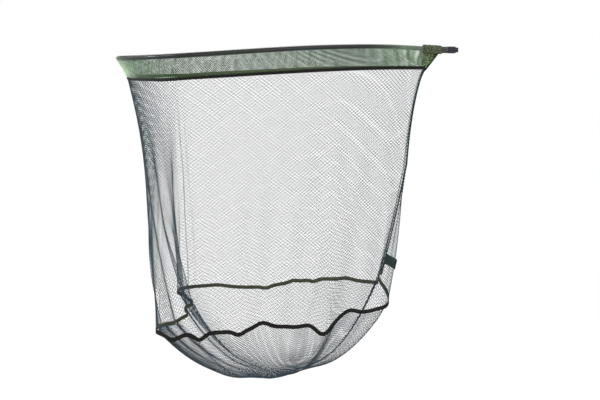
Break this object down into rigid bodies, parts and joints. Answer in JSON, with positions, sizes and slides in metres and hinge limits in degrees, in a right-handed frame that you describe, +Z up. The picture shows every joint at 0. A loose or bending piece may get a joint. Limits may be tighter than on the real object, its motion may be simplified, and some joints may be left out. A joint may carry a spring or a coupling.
{
  "type": "landing net head",
  "caption": "Spoon-shaped rigid tube hoop on a moulded yoke with a threaded handle socket, holding a deep mesh bag with a bowl-shaped base",
  "frame": {"origin": "centre of the mouth of the threaded handle socket", "axes": "+X out of the socket towards the handle, the hoop reaches towards -X, +Z up, the bag hangs towards -Z"},
  "size_m": [0.8184, 0.6122, 0.8039],
  "materials": {
    "hoop_coating": "satin black powder coat over aluminium tube",
    "plug_nylon": "moulded black nylon",
    "yoke_nylon": "moulded glass-filled nylon, fine grain",
    "socket_alloy": "turned aluminium, dark anodised",
    "fastener_steel": "stainless steel",
    "washer_acetal": "natural white acetal",
    "sleeve_mesh": "sheer fine green polyester mesh",
    "wrap_mesh": "gathered green mesh, several layers",
    "binding_tape": "black woven polyester binding",
    "wall_mesh": "dark grey knitted nylon mesh, open",
    "base_mesh": "finer dark grey knitted nylon mesh",
    "seam_tape": "dark green woven tape",
    "label_cloth": "bare dark green woven label"
  },
  "bodies": {
    "head": {"hoop_tube": "hoop_coating", "tube_plug_left": "plug_nylon", "tube_plug_right": "plug_nylon", "yoke_body": "yoke_nylon", "hoop_set_screws": "fastener_steel", "handle_socket": "socket_alloy", "socket_pin": "fastener_steel", "thrust_washer": "washer_acetal", "circlip": "fastener_steel", "sleeve_left": "sleeve_mesh", "sleeve_right": "sleeve_mesh", "neck_wrap": "wrap_mesh", "sleeve_binding": "binding_tape", "wall_left": "wall_mesh", "wall_right": "wall_mesh", "handle_seam": "seam_tape", "base_seam": "binding_tape", "base_pan": "base_mesh", "label_tab": "label_cloth"},
    "lock_ring": {"lock_ring": "socket_alloy"}
  },
  "joints": [
    {"name": "lock_ring_turn", "type": "hinge", "parent": "head", "child": "lock_ring", "pos_m": [-0.016, 0, 0], "axis": [1, 0, 0], "continuous": true}
  ]
}
